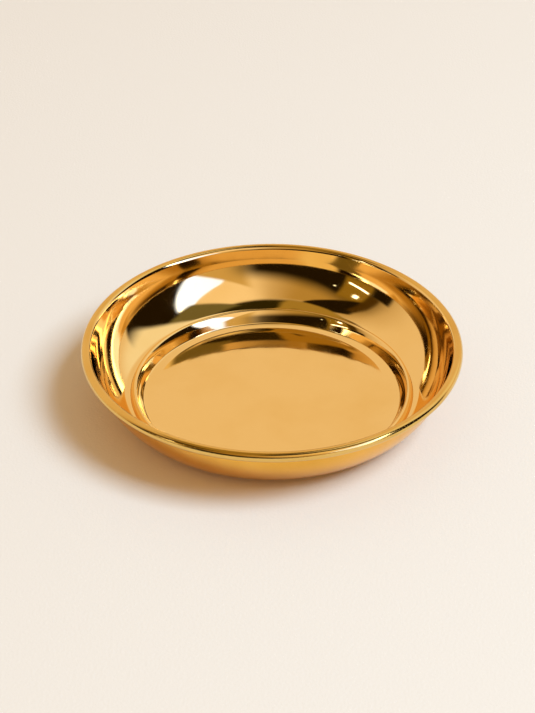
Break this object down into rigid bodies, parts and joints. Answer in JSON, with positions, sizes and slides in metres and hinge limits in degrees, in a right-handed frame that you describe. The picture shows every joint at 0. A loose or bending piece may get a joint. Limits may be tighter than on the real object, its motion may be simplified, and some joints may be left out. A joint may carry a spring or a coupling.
{
  "type": "pooja plate",
  "caption": "Round polished brass pooja plate: flat floor with a raised ring round it, curved wall, and a rim rolled over a stiffening wire. Holds flowers, lamps and offerings.",
  "frame": {"origin": "on the table, on the axis of the plate, at the middle of the bottom of its bounding box", "axes": "+Z is the axis of the plate, pointing up out of the bowl. X and Y are free, because the plate is round"},
  "size_m": [0.2, 0.2, 0.036],
  "materials": {
    "polished_brass": "mirror polished inside and on the rim, softer polish with fine lathe lines outside",
    "steel_wire": "drawn wire"
  },
  "bodies": {
    "root": {"plate_shell": "polished_brass", "rim_wire": "steel_wire"}
  },
  "joints": []
}
